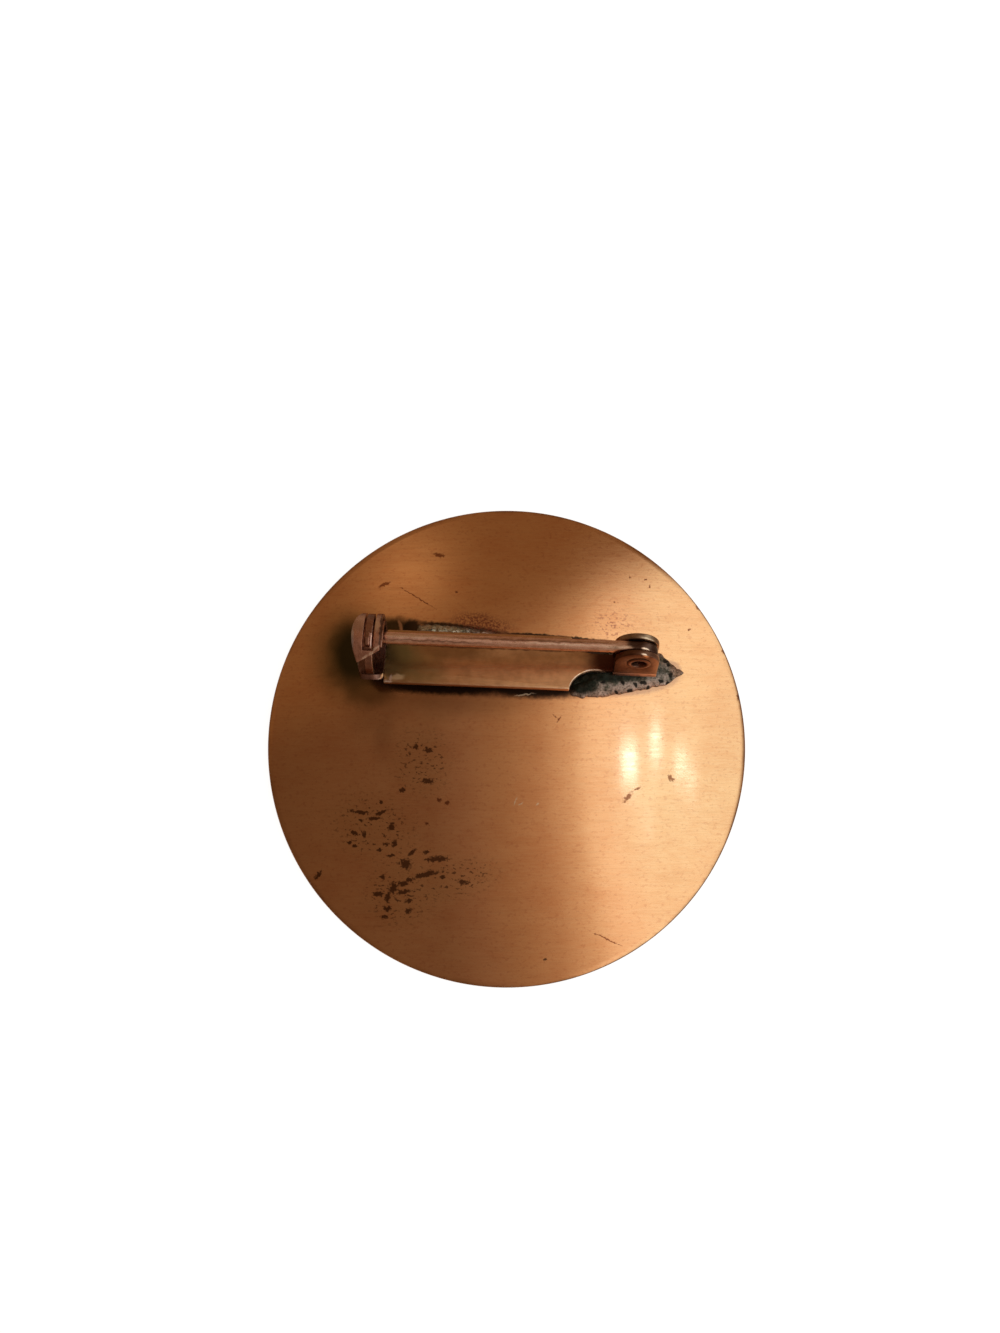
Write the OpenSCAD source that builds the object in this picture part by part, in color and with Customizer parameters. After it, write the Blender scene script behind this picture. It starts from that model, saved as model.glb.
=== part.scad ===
// Round copper brooch, resting back up: a domed disc with a soldered bar pin,
// its hinge at +X and its turning safety catch at -X.
// Millimetres, +Z up, origin at the centre of the rim's flat underside.

/* [Disc] */
// Diameter of the disc
disc_d = 38; // [36:0.5:42]
// Height of the dome above its rim edge
dome_rise = 3; // [2.6:0.1:3.6]
// Thickness of the copper sheet
sheet_t = 0.9; // [0.8:0.05:1.1]
// Height of the straight edge of the rim
rim_h = 0.75; // [0.6:0.05:0.9]

/* [Bar] */
// Width of the flat bar
bar_w = 4.45; // [4.2:0.05:4.7]
// Distance of the bar's near edge from the pin
bar_front = 2.35; // [2.2:0.05:2.5]
// Thickness of the stamped sheet
bar_t = 0.45; // [0.4:0.05:0.5]
// Half of the finding's whole length
bar_half = 11.55; // [11.4:0.05:11.7]
// Distance of the bar's middle above the disc's middle
bar_y = 6.4; // [6.1:0.1:6.7]
// Tilt of the bar away from the disc's middle
bar_tilt = 15.6; // [14:0.2:17]
// Turn of the bar, its hinge end lower
bar_turn = 2.45; // [0:0.05:4]
// Start of the notches that narrow the hinge end
notch_x = 4.9; // [4.5:0.1:5.3]
// Radius of the notches
notch_r = 2; // [1.8:0.1:2.1]
// Width of the neck between the notches
neck_w = 1.4; // [1.2:0.1:1.6]

/* [Hinge] */
// Place of the rivet along the bar
rivet_x = 10.1; // [10:0.05:10.2]
// Height of the rivet above the bar
rivet_h = 2.1; // [2:0.05:2.2]
// Radius of the rivet's shank
rivet_r = 0.7; // [0.65:0.01:0.72]
// Radius of the hole through the rivet
rivet_bore_r = 0.56; // [0.4:0.02:0.58]
// Radius of the rivet's flared ends
flare_r = 0.95; // [0.85:0.05:1.05]
// Radius of an ear's round top
ear_r = 1.7; // [1.6:0.05:1.75]
// How far the ears stand off the rivet's centre, towards the catch
ear_shift = 0.15; // [0:0.05:0.2]
// Thickness of an ear
ear_t = 0.45; // [0.4:0.05:0.55]
// Gap between the ears
ear_gap = 0.9; // [0.86:0.02:0.94]

/* [Pin] */
// Radius of the pin wire
wire_r = 0.46; // [0.44:0.01:0.48]
// Height of the wire's axis above the rivet's
wire_rise = 1; // [0.96:0.02:1]
// Thickness of the flattened eye
eye_t = 0.8; // [0.7:0.02:0.8]
// Length of the sharpened point
point_l = 2.4; // [2.3:0.1:2.7]

/* [Catch] */
// Outer radius of the rolled housing
house_r = 2.55; // [2.5:0.01:2.6]
// Wall of the housing
house_t = 0.4; // [0.35:0.01:0.4]
// Length of the housing along the wire
house_l = 2.15; // [2.1:0.05:2.25]
// Bulge of the housing's outer end
house_bulge = 0.95; // [0.8:0.05:1.05]
// Angle from straight up to the upper lip of the mouth
lip_a = 44; // [42:1:46]
// Slant of the upper lip
lip_slant = 30; // [25:1:32]
// Angle from straight up to the lower lip of the mouth
jaw_a = 122; // [120:1:124]
// Width of the slot for the lever
slot_w = 0.84; // [0.8:0.01:0.86]
// Wall of the rotor's sleeve
sleeve_t = 0.4; // [0.35:0.01:0.4]
// Turn that unlocks the catch
unlock_a = 88; // [80:1:88]
// Height of the lever above the housing
lever_h = 0.75; // [0.5:0.05:0.9]

/* [Hidden] */
$fn = 96;

copper = [0.72, 0.45, 0.28];
pink_copper = [0.74, 0.5, 0.42];
bronze = [0.42, 0.32, 0.2];

// Running gaps between pieces
turn_gap = 0.05;
seat_gap = 0.02;
eye_gap = 0.06;
sink = 0.05;

// Disc
disc_r = disc_d / 2;
dome_r = (disc_r * disc_r + dome_rise * dome_rise) / (2 * dome_rise);
dome_z = rim_h + dome_rise - dome_r;
rim_chamfer = 0.15;
function dome_at(x, y) = dome_z + sqrt(dome_r * dome_r - x * x - y * y);

// Bar: its top face's middle stands so high that the far edge's underside just bites the dome
bar_back = bar_w - bar_front;
bar_edge_y = bar_y + bar_back * cos(bar_tilt) - bar_t * sin(bar_tilt);
bar_z = dome_at(0, bar_edge_y) + bar_back * sin(bar_tilt) + bar_t * cos(bar_tilt) - sink;

// Catch
house_x1 = house_l - bar_half;
house_x0 = -bar_half;
house_y = -0.4;
house_in_r = house_r - house_t;
house_h = house_in_r + turn_gap;
foot_w = 1.8;
slot_x = house_x1 - 0.86;
slot_a0 = -153;
slot_a1 = lip_a - 14;
sleeve_r = house_in_r - turn_gap;
sleeve_x0 = house_x0 + 0.65;
sleeve_x1 = house_x1 + 0.15;
sleeve_a0 = -150;
sleeve_a1 = lip_a - 20;
tongue_w = 0.56;
tongue_a = lip_a + unlock_a - 4;
band_w = slot_w - 0.3;
band_a0 = -62;
band_a1 = slot_a1 - 3;
lever_t = 0.3;
lever_a0 = -3;
lever_a1 = band_a1;

// Pin
wire_h = rivet_h + wire_rise;
eye_bore_r = rivet_r + eye_gap;
eye_r = wire_rise + wire_r;
flat_end = ear_r + ear_shift + 0.15;
flat_edge = 0.2;
tip_r = 0.08;
tip_x = house_x0 + 0.15;

// A sector of a disc, from angle a0 to a1, both from straight up towards the front
module sector(a0, a1, r) {
    steps = ceil((a1 - a0) / 30);
    step = (a1 - a0) / steps;
    polygon(concat([[0, 0]], [for (i = [0:steps]) r * [-sin(a0 + i * step), cos(a0 + i * step)]]));
}

// Puts a part drawn on the bar's own axes, with z = 0 on the bar's top face, onto the disc
module on_bar() {
    translate([0, bar_y, bar_z])
        rotate([-bar_tilt, 0, 0])
            rotate([0, 0, -bar_turn])
                children();
}

// Moves to the axis of the catch, which runs along the bar
module on_catch() {
    translate([0, house_y, house_h])
        children();
}

// Draws a cross-section of the catch and stretches it from x0 to x1
module along_catch(x0, x1) {
    translate([x0, 0, 0])
        rotate([90, 0, 90])
            linear_extrude(x1 - x0)
                children();
}

// A piece of a tube round the catch's axis, from x0 to x1 and from angle a0 to a1
module shell(x0, x1, r_out, r_in, a0, a1) {
    intersection() {
        difference() {
            translate([x0, 0, 0])
                rotate([0, 90, 0])
                    cylinder(h = x1 - x0, r = r_out);
            translate([x0 - 1, 0, 0])
                rotate([0, 90, 0])
                    cylinder(h = x1 - x0 + 2, r = r_in);
        }
        along_catch(x0, x1)
            sector(a0, a1, 3 * r_out);
    }
}

module domed_disc() {
    intersection() {
        difference() {
            translate([0, 0, dome_z])
                sphere(r = dome_r);
            translate([0, 0, dome_z])
                sphere(r = dome_r - sheet_t);
        }
        cylinder(h = 2 * dome_rise, r = disc_r);
        cylinder(h = rim_h + disc_r, r1 = disc_r + rim_h - rim_chamfer, r2 = 0);
    }
}

module bar_outline() {
    notch_cx = notch_x + notch_r;
    difference() {
        translate([house_x1, -bar_front])
            square([rivet_x - house_x1, bar_w]);
        for (side = [-1, 1]) {
            translate([notch_cx, side * (neck_w / 2 + notch_r)])
                circle(r = notch_r);
            translate([notch_cx, side > 0 ? neck_w / 2 : -bar_w])
                square([bar_half, bar_w - neck_w / 2]);
        }
    }
    translate([rivet_x - ear_shift - ear_r, -ear_gap / 2 - ear_t])
        square([2 * ear_r, ear_gap + 2 * ear_t]);
}

module ears() {
    for (side = [-1, 1])
        translate([rivet_x - ear_shift, side * (ear_gap + ear_t) / 2, 0])
            rotate([90, 0, 0])
                linear_extrude(ear_t, center = true) {
                    translate([0, rivet_h])
                        circle(r = ear_r);
                    translate([-ear_r, -bar_t])
                        square([2 * ear_r, bar_t + rivet_h]);
                }
}

// Upper lip of the mouth, slanted: cuts away what lies in front of it
module lip_cut() {
    reach = 2 * house_r;
    intersection() {
        translate([house_x1 - house_l / 2, 0, 0])
            rotate([lip_a, 0, 0])
                rotate([0, 0, lip_slant])
                    translate([-reach, -2 * reach, 0])
                        cube([2 * reach, 2 * reach, reach]);
        along_catch(house_x0 - 1, house_x1 + 1)
            sector(lip_a - 25, lip_a + 30, 2 * reach);
    }
}

module catch_housing() {
    bulge_r = (house_r * house_r + house_bulge * house_bulge) / (2 * house_bulge);
    on_catch()
        intersection() {
            difference() {
                shell(house_x0, house_x1, house_r, house_in_r, jaw_a, lip_a + 372);
                lip_cut();
                intersection() {
                    translate([slot_x - slot_w / 2, -5, -5])
                        cube([slot_w, 10, 10]);
                    along_catch(slot_x - 1, slot_x + 1)
                        sector(slot_a0, slot_a1, 3 * house_r);
                }
            }
            translate([house_x0 + bulge_r, 0, -5])
                cylinder(h = 10, r = bulge_r);
        }
    translate([house_x0 + house_bulge, house_y - foot_w / 2, -bar_t])
        cube([house_l, foot_w, bar_t]);
}

module pin_base() {
    difference() {
        union() {
            translate([0, 0, -bar_t])
                linear_extrude(bar_t)
                    bar_outline();
            ears();
        }
        translate([rivet_x, 0, rivet_h])
            rotate([90, 0, 0])
                cylinder(h = 10, r = rivet_r + seat_gap, center = true);
    }
    catch_housing();
}

// Solder: low mounds that rise from the dome, each a hull over [x, y, radius, height] rows
module mound(rows) {
    hull()
        for (row = rows)
            translate([row[0], row[1], dome_at(row[0], row[1]) + row[3] - row[2]])
                sphere(r = row[2], $fn = 28);
}

module solder() {
    // under the hinge end, running out to a tip
    mound([[5.7, 4.5, 1.1, 0.55], [8.5, 5.1, 1.5, 1], [11, 5.6, 1.4, 0.9], [13.7, 5.6, 0.4, 0.1]]);
    // along the bar's far edge
    mound([[-6.6, 9.1, 0.6, 0.8], [-3, 8.95, 0.5, 0.5], [0, 8.75, 0.4, 0.25]]);
}

module soldered_disc() {
    color(copper) {
        domed_disc();
        on_bar()
            pin_base();
        solder();
    }
}

module hinge_rivet() {
    half = ear_gap / 2 + ear_t + seat_gap;
    flare_t = 0.2;
    color(copper)
        on_bar()
            translate([rivet_x, 0, rivet_h])
                rotate([90, 0, 0])
                    rotate_extrude()
                        difference() {
                            union() {
                                translate([0, -half - flare_t])
                                    square([rivet_r, 2 * (half + flare_t)]);
                                for (side = [-1, 1])
                                    translate([0, side > 0 ? half : -half - flare_t])
                                        square([flare_r, flare_t]);
                            }
                            translate([-1, -5])
                                square([1 + rivet_bore_r, 10]);
                        }
}

module eye() {
    edge_r = 0.25;
    rotate([90, 0, 0])
        rotate_extrude()
            difference() {
                union() {
                    translate([eye_bore_r, -eye_t / 2])
                        square([eye_r - edge_r - eye_bore_r, eye_t]);
                    translate([eye_bore_r, edge_r - eye_t / 2])
                        square([eye_r - eye_bore_r, eye_t - 2 * edge_r]);
                    for (side = [-1, 1])
                        translate([eye_r - edge_r, side * (eye_t / 2 - edge_r)])
                            circle(r = edge_r);
                }
            }
}

// Cross-section of the wire where it is flattened
module flat_section() {
    square([eye_t, 2 * (wire_r - flat_edge)], center = true);
    square([eye_t - 2 * flat_edge, 2 * wire_r], center = true);
    for (x = [-1, 1], y = [-1, 1])
        translate([x * (eye_t / 2 - flat_edge), y * (wire_r - flat_edge)])
            circle(r = flat_edge);
}

module pin_stem() {
    point_x = tip_x + point_l;
    color(pink_copper)
        on_bar() {
            translate([rivet_x, 0, rivet_h])
                eye();
            // the wire's flattened start, between the ears
            difference() {
                translate([rivet_x - flat_end, 0, wire_h])
                    rotate([90, 0, 90])
                        linear_extrude(flat_end)
                            flat_section();
                translate([rivet_x, 0, rivet_h])
                    rotate([90, 0, 0])
                        cylinder(h = 5, r = eye_bore_r, center = true);
            }
            translate([0, 0, wire_h])
                rotate([0, 90, 0]) {
                    translate([0, 0, point_x])
                        cylinder(h = rivet_x - flat_end - point_x, r = wire_r);
                    translate([0, 0, tip_x])
                        cylinder(h = point_l, r1 = tip_r, r2 = wire_r);
                }
        }
}

module catch_rotor() {
    lever_r = house_r + lever_h;
    lever_mid = (lever_a0 + lever_a1) / 2;
    root_r = house_r - 0.3;
    color(pink_copper)
        on_bar()
            on_catch() {
                shell(sleeve_x0, sleeve_x1, sleeve_r, sleeve_r - sleeve_t, sleeve_a0, sleeve_a1);
                shell(slot_x - tongue_w / 2, slot_x + tongue_w / 2,
                      sleeve_r, sleeve_r - sleeve_t, sleeve_a1 - 5, tongue_a);
                shell(slot_x - band_w / 2, slot_x + band_w / 2,
                      house_r - seat_gap, sleeve_r - sleeve_t / 2, band_a0, band_a1);
                along_catch(slot_x - lever_t / 2, slot_x + lever_t / 2)
                    polygon([
                        root_r * [-sin(lever_a0), cos(lever_a0)],
                        (lever_r - 0.15) * [-sin(lever_mid - 9), cos(lever_mid - 9)],
                        lever_r * [-sin(lever_mid), cos(lever_mid)],
                        (lever_r - 0.15) * [-sin(lever_mid + 9), cos(lever_mid + 9)],
                        root_r * [-sin(lever_a1), cos(lever_a1)],
                    ]);
            }
}

soldered_disc();
hinge_rivet();
pin_stem();
catch_rotor();
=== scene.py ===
# %% [markdown]
# # A round copper brooch, lying back up
# The brooch is one shallow dome of brushed sheet copper, 38 mm across. A stock bar pin is
# soldered to its back: a stamped bar, a riveted hinge, a sprung wire and a small turning
# catch. We dress the measured solids with finer pieces, so everything starts from them.

# %% Load the frame
import math

import bmesh
import bpy
from mathutils import Matrix, Vector, noise


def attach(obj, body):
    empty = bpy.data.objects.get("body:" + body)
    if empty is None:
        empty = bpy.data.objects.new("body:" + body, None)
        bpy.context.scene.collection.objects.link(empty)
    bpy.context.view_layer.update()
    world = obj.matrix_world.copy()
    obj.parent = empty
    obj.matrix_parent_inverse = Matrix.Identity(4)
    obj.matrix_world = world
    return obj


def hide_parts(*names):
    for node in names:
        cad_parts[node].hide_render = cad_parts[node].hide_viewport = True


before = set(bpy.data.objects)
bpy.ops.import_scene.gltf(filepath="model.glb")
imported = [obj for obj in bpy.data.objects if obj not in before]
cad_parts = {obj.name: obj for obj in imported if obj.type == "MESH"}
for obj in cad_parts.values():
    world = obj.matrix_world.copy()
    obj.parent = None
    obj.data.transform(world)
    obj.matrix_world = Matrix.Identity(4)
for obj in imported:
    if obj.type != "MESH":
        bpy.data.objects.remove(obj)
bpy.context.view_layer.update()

# %% [markdown]
# ## The two places we work from
# Everything on the disc follows a sphere, so one function gives the dome's height at any
# point. Everything on the pin follows the bar, which leans back and is turned a little.
# We could place each piece by eye, but one matrix for the bar keeps hinge, wire and catch
# true to each other. Sizes are in millimetres and become metres when a mesh is made.

# %% Dome place
MM = 0.001
DISC_R = 19.0
DOME_RISE = 3.0
SHEET = 0.9
RIM_H = 0.75
DOME_R = (DISC_R ** 2 + DOME_RISE ** 2) / (2 * DOME_RISE)
DOME_Z = RIM_H + DOME_RISE - DOME_R


def dome_height(x, y):
    return DOME_Z + math.sqrt(DOME_R ** 2 - x * x - y * y)


print("dome radius", round(DOME_R, 2), "mm")

# %% Bar place
BAR_FRONT, BAR_BACK, BAR_T = 2.35, 2.1, 0.45  # reach to either side of its middle, thickness
BAR_Y, BAR_SINK = 6.4, 0.05  # its middle, and how deep its far edge sinks into the dome
BAR_TILT, BAR_TURN = math.radians(15.6), math.radians(2.45)
far_edge_y = BAR_Y + BAR_BACK * math.cos(BAR_TILT) - BAR_T * math.sin(BAR_TILT)
BAR_Z = (dome_height(0, far_edge_y) + BAR_BACK * math.sin(BAR_TILT)
         + BAR_T * math.cos(BAR_TILT) - BAR_SINK)
on_bar = (Matrix.Translation((0, BAR_Y, BAR_Z)) @ Matrix.Rotation(-BAR_TILT, 4, "X")
          @ Matrix.Rotation(-BAR_TURN, 4, "Z"))
print("bar height", round(BAR_Z, 3), "mm")

# %% [markdown]
# ## The camera
# The photo looks down on the back from a hand's breadth away, leaning a few degrees from
# the lower edge. That close, perspective matters: what stands up from the disc grows and
# shifts, so distance and lens are set together until rim and pin both fit.

# %% Camera
SENSOR_W, LENS = 36, 37.03
camera_place = Vector((0, -7.67, 109.73)) * MM
camera_aim = Vector((-0.51, 6.30, 0)) * MM


def looking(place, aim):
    """Stands at place and looks at aim, with the far side of the brooch upwards."""
    ahead = (aim - place).normalized()
    right = ahead.cross(Vector((0, 1, 0))).normalized()
    turn = Matrix((right, right.cross(ahead), -ahead)).transposed()
    return Matrix.Translation(place) @ turn.to_4x4()


camera_data = bpy.data.cameras.new("camera")
camera_data.sensor_width = SENSOR_W
camera_data.lens = LENS
camera_data.clip_start = 0.005
camera_data.clip_end = 10
camera = bpy.data.objects.new("camera", camera_data)
camera.matrix_world = looking(camera_place, camera_aim)
scene = bpy.context.scene
scene.collection.objects.link(camera)
scene.camera = camera
print("camera", round((camera_place - camera_aim).length * 1000, 1), "mm away")

# %% [markdown]
# ## Nodes in short calls
# Every finish is a small network of nodes. Writing each node by hand takes many lines, so
# these helpers add one node each and return its output.

# %% Node helpers
def add(tree, kind, inputs=None, **settings):
    node = tree.nodes.new(kind)
    for key, value in settings.items():
        setattr(node, key, value)
    for key, value in (inputs or {}).items():
        if isinstance(value, bpy.types.NodeSocket):
            tree.links.new(value, node.inputs[key])
        else:
            node.inputs[key].default_value = value
    return node


def calc(tree, operation, a, b=0.0):
    return add(tree, "ShaderNodeMath", {0: a, 1: b}, operation=operation).outputs[0]


def calc_vector(tree, operation, a, b):
    return add(tree, "ShaderNodeVectorMath", {0: a, 1: b}, operation=operation).outputs[0]


def between(tree, value, low, high, to_low=0.0, to_high=1.0):
    return add(tree, "ShaderNodeMapRange",
               {"Value": value, "From Min": low, "From Max": high,
                "To Min": to_low, "To Max": to_high},
               interpolation_type="SMOOTHSTEP").outputs[0]


def tint(tree, amount, one, two, how="MIX"):
    node = add(tree, "ShaderNodeMix", data_type="RGBA", blend_type=how)
    for index, value in ((0, amount), (6, one), (7, two)):
        if isinstance(value, bpy.types.NodeSocket):
            tree.links.new(value, node.inputs[index])
        else:
            node.inputs[index].default_value = value if index == 0 else (*value, 1)
    return node.outputs[2]


# %% [markdown]
# ## The floor
# The photo is cut out on white, so plain pale paper is all we need. Bright paper would
# throw white light up into the copper. So it glows white to the camera only, and stays dim
# in the copper, as the dark table under the real brooch did.

# %% Floor
FLOOR_REACH, FLOOR_DROP = 1.5, 0.02  # metres, millimetres
DIM_GLOW, WHITE_GLOW = 0.12, 0.95


def new_finish(name, metallic=1.0, roughness=0.35):
    material = bpy.data.materials.new(name)
    material.use_nodes = True
    shader = material.node_tree.nodes["Principled BSDF"]
    shader.inputs["Metallic"].default_value = metallic
    shader.inputs["Roughness"].default_value = roughness
    return material, material.node_tree, shader


floor_mesh = bpy.data.meshes.new("floor")
floor_mesh.from_pydata([(x * FLOOR_REACH, y * FLOOR_REACH, 0)
                        for x, y in ((-1, -1), (1, -1), (1, 1), (-1, 1))], [], [(0, 1, 2, 3)])
floor = bpy.data.objects.new("floor", floor_mesh)
floor.location.z = -FLOOR_DROP * MM
scene.collection.objects.link(floor)
paper, paper_tree, paper_shader = new_finish("pale_paper", metallic=0.0, roughness=0.9)
paper_shader.inputs["Base Color"].default_value = (0.29, 0.21, 0.14, 1)
seen = add(paper_tree, "ShaderNodeLightPath").outputs["Is Camera Ray"]
paper_tree.links.new(add(paper_tree, "ShaderNodeMapRange",
                         {"Value": seen, "To Min": DIM_GLOW, "To Max": WHITE_GLOW}).outputs[0],
                     paper_shader.inputs["Emission Strength"])
paper_tree.links.new(tint(paper_tree, seen, (1.0, 0.72, 0.48), (1, 1, 1)),
                     paper_shader.inputs["Emission Color"])
floor.data.materials.append(paper)
print("floor", 2 * FLOOR_REACH, "m wide")

# %% [markdown]
# ## The room's light
# Copper shows mostly what it mirrors. The photo's room is dim and warm on the left, and a
# wide bright window stands on the right. Big lamps would leave hard shapes in the dome, so
# the sky is painted: one soft ramp of colour from side to side, with a darker far wall and
# two soft glows. The window is bluish, because copper turns that to a pale gold.

# %% Room ramp
scene.view_settings.view_transform = "Standard"
world = bpy.data.worlds.new("soft_room")
scene.world = world
world.use_nodes = True
room = world.node_tree
look = add(room, "ShaderNodeTexCoord").outputs["Generated"]
split = add(room, "ShaderNodeSeparateXYZ", {0: look})
slant = None
for slope, offset in ((0.08, 0.0), (-0.06, 0.0), (0.17, 0.0225)):
    # The window's edge leans to the right at the far and the near side.
    line = calc(room, "ADD", calc(room, "MULTIPLY", split.outputs["Y"], slope), offset)
    slant = line if slant is None else calc(room, "MINIMUM", slant, line)
side = add(room, "ShaderNodeMapRange",
           {"Value": calc(room, "ADD", split.outputs["X"], slant), "From Min": -1.0,
            "From Max": 1.0}).outputs[0]
ramp = add(room, "ShaderNodeValToRGB", {"Fac": side})
stops = ((0.10, (0.115, 0.08, 0.055)), (0.22, (0.14, 0.10, 0.072)),
         (0.375, (0.165, 0.125, 0.10)), (0.43, (0.22, 0.17, 0.145)),
         (0.49, (0.305, 0.245, 0.20)), (0.548, (0.44, 0.37, 0.32)),
         (0.605, (0.72, 0.70, 0.68)), (0.628, (0.95, 1.01, 1.08)),
         (0.655, (1.03, 1.12, 1.24)), (0.716, (1.06, 1.30, 1.50)),
         (0.80, (1.06, 1.30, 1.50)),
         (0.90, (0.95, 1.2, 1.4)), (0.97, (0.25, 0.22, 0.20)))
while len(ramp.color_ramp.elements) < len(stops):
    ramp.color_ramp.elements.new(0.5)
for element, (at, colour) in zip(ramp.color_ramp.elements, stops):
    element.position = at
    element.color = (*colour, 1)
print(len(stops), "stops from the dim side to the window")

# %% Far wall and glows
def towards(lean_x, lean_y):
    """The way lean_x to the right and lean_y to the far side, in degrees from straight up."""
    way = Vector((math.tan(math.radians(lean_x)), math.tan(math.radians(lean_y)), 1))
    return way.normalized()


def glow(sky, lean_x, lean_y, half_width, colour):
    """Adds a soft round patch of light, at half its strength half_width degrees out."""
    near = add(room, "ShaderNodeVectorMath", {0: look, 1: towards(lean_x, lean_y)},
               operation="DOT_PRODUCT").outputs[1]
    power = math.log(0.5) / math.log(math.cos(math.radians(half_width)))
    amount = calc(room, "POWER", calc(room, "MAXIMUM", near, 0.0), power)
    return tint(room, amount, sky, colour, "ADD")


WALL_LEAN, WALL_COLOUR = 0.42, (0.20, 0.138, 0.085)
leaning = calc(room, "SUBTRACT", split.outputs["Y"],
               calc(room, "MULTIPLY", split.outputs["X"], WALL_LEAN))
sky = tint(room, between(room, leaning, 0.30, 0.53), ramp.outputs["Color"], WALL_COLOUR)
sky = glow(sky, -22, 37.5, 7, (0.28, 0.235, 0.18))
sky = glow(sky, 32, -5, 11, (0.0, 0.17, 0.27))
sight = add(room, "ShaderNodeLightPath").outputs["Is Camera Ray"]
room.links.new(tint(room, sight, sky, (1, 1, 1)), room.nodes["Background"].inputs["Color"])
print("room painted with", len(room.nodes), "nodes")

# %% [markdown]
# ## The streaks
# Bare panes of the window leave four pale streaks on the right, and a fainter one below.
# Each is a small lamp, placed where the dome mirrors it. The brush marks draw them out.

# %% Lamps
LAMP_AWAY = 0.6  # metres
LAMP_BLUE = (0.25, 0.5, 1.0)


def softbox(name, lean_x, lean_y, size_x, size_y, radiance):
    """An area light towards lean_x and lean_y, in metres, facing the brooch."""
    light = bpy.data.lights.new(name, "AREA")
    light.shape = "RECTANGLE"
    light.size, light.size_y = size_x, size_y
    light.energy = radiance * math.pi * size_x * size_y
    light.color = LAMP_BLUE
    lamp = bpy.data.objects.new(name, light)
    lamp.matrix_world = looking(towards(lean_x, lean_y) * LAMP_AWAY, Vector((0, 0, 0)))
    scene.collection.objects.link(lamp)
    print(name, round(light.energy, 3), "W")


lamps = (  # name, lean to the right and to the far side, width, length, radiance
    ("lamp_one", 23.6, 0.2, 0.027, 0.046, 8.5), ("lamp_two", 28.8, 4.4, 0.019, 0.052, 6.0),
    ("lamp_three", 33.6, 0.0, 0.022, 0.020, 7.5), ("lamp_four", 35.8, -3.4, 0.018, 0.020, 5.0),
    ("lamp_five", 27.6, -12.5, 0.022, 0.05, 0.8))
for row in lamps:
    softbox(*row)

# %% [markdown]
# ## Making a piece
# A piece is a list of points and faces. `make_piece` turns it into a mesh that rides on
# one of the moving bodies. Edges sharper than a set angle stay crisp, the rest is smooth.

# %% Piece helpers
def smooth_by_angle(piece, sharp_deg=35):
    piece.data.shade_smooth()
    piece.data.set_sharp_from_angle(angle=math.radians(sharp_deg))


def make_piece(name, points, faces, body, place=Matrix.Identity(4), sharp_deg=35):
    mesh = bpy.data.meshes.new(name)
    mesh.from_pydata([(place @ Vector(p)) * MM for p in points], [], faces)
    shape = bmesh.new()
    shape.from_mesh(mesh)
    bmesh.ops.remove_doubles(shape, verts=shape.verts, dist=0.002 * MM)
    bmesh.ops.recalc_face_normals(shape, faces=shape.faces)
    shape.to_mesh(mesh)
    shape.free()
    piece = bpy.data.objects.new(name, mesh)
    bpy.context.scene.collection.objects.link(piece)
    smooth_by_angle(piece, sharp_deg)
    if body:
        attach(piece, body)
    return piece


# %% [markdown]
# ## The disc
# The real one is a blank of sheet copper, pressed to a shallow dome and trimmed, with the
# edge just broken. A sphere cut by a cylinder would do, but a turned profile lets us
# spend points where the rim rounds over and keeps the sheet's thickness true. Pressing
# leaves the sheet a little uneven, which the light shows at once, so it gets slight dents.

# %% Disc profile
def revolve(profile, steps, closed=False):
    """Points and faces of a profile of (radius, height) turned about Z."""
    points, rings = [], []
    for radius, height in profile:
        if radius < 1e-9:
            rings.append([len(points)] * steps)
            points.append((0, 0, height))
        else:
            rings.append(list(range(len(points), len(points) + steps)))
            points += [(radius * math.cos(2 * math.pi * i / steps),
                        radius * math.sin(2 * math.pi * i / steps), height)
                       for i in range(steps)]
    faces = []
    pairs = list(zip(rings, rings[1:] + rings[:1] if closed else rings[1:]))
    for one, two in pairs:
        for i in range(steps):
            j = (i + 1) % steps
            corners = [one[i], one[j], two[j], two[i]]
            faces.append(list(dict.fromkeys(corners)))
    return points, [f for f in faces if len(f) > 2]


TOP_RINGS, UNDER_RINGS = 56, 18
DOME_EDGE = 18.86
broken_edge = [(18.93, 0.735), (18.975, 0.69), (19.0, 0.6), (19.0, 0.06), (18.97, 0.015),
               (18.92, 0.0)]
profile = [(0, dome_height(0, 0))]
profile += [(DOME_EDGE * i / TOP_RINGS, dome_height(DOME_EDGE * i / TOP_RINGS, 0))
            for i in range(1, TOP_RINGS + 1)]
profile += broken_edge
inner = DOME_R - SHEET
under_edge = math.sqrt(inner ** 2 - DOME_Z ** 2)
profile += [(under_edge + 0.05, 0.0)]
profile += [(under_edge * (1 - i / UNDER_RINGS),
             DOME_Z + math.sqrt(inner ** 2 - (under_edge * (1 - i / UNDER_RINGS)) ** 2))
            for i in range(1, UNDER_RINGS + 1)]
print("profile of", len(profile), "points")

# %% Disc shape
TURN_STEPS = 288
DENT, BROAD_DENTS, SMALL_DENTS = 0.006, 6.5, 2.8
points, faces = revolve(profile, TURN_STEPS)
for i, (x, y, z) in enumerate(points):
    if z > RIM_H + 0.05:
        dent = (noise.noise(Vector((x, y, 0)) / BROAD_DENTS)
                + 0.4 * noise.noise(Vector((x, y, 9)) / SMALL_DENTS))
        points[i] = (x, y, z + DENT * dent - DENT)
disc = make_piece("disc", points, faces, "base", sharp_deg=60)
print("disc", len(disc.data.polygons), "faces")

# %% [markdown]
# ## Brushed copper
# Emery drawn from side to side leaves fine parallel scratches. They spread a reflection
# across themselves, so lights smear up and down: that is anisotropy. Its tangent comes
# from a flat map of X and Y, which tells the shader which way the scratches lie. Colour
# varies along the same scratches, in noise that is stretched along X.

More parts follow.
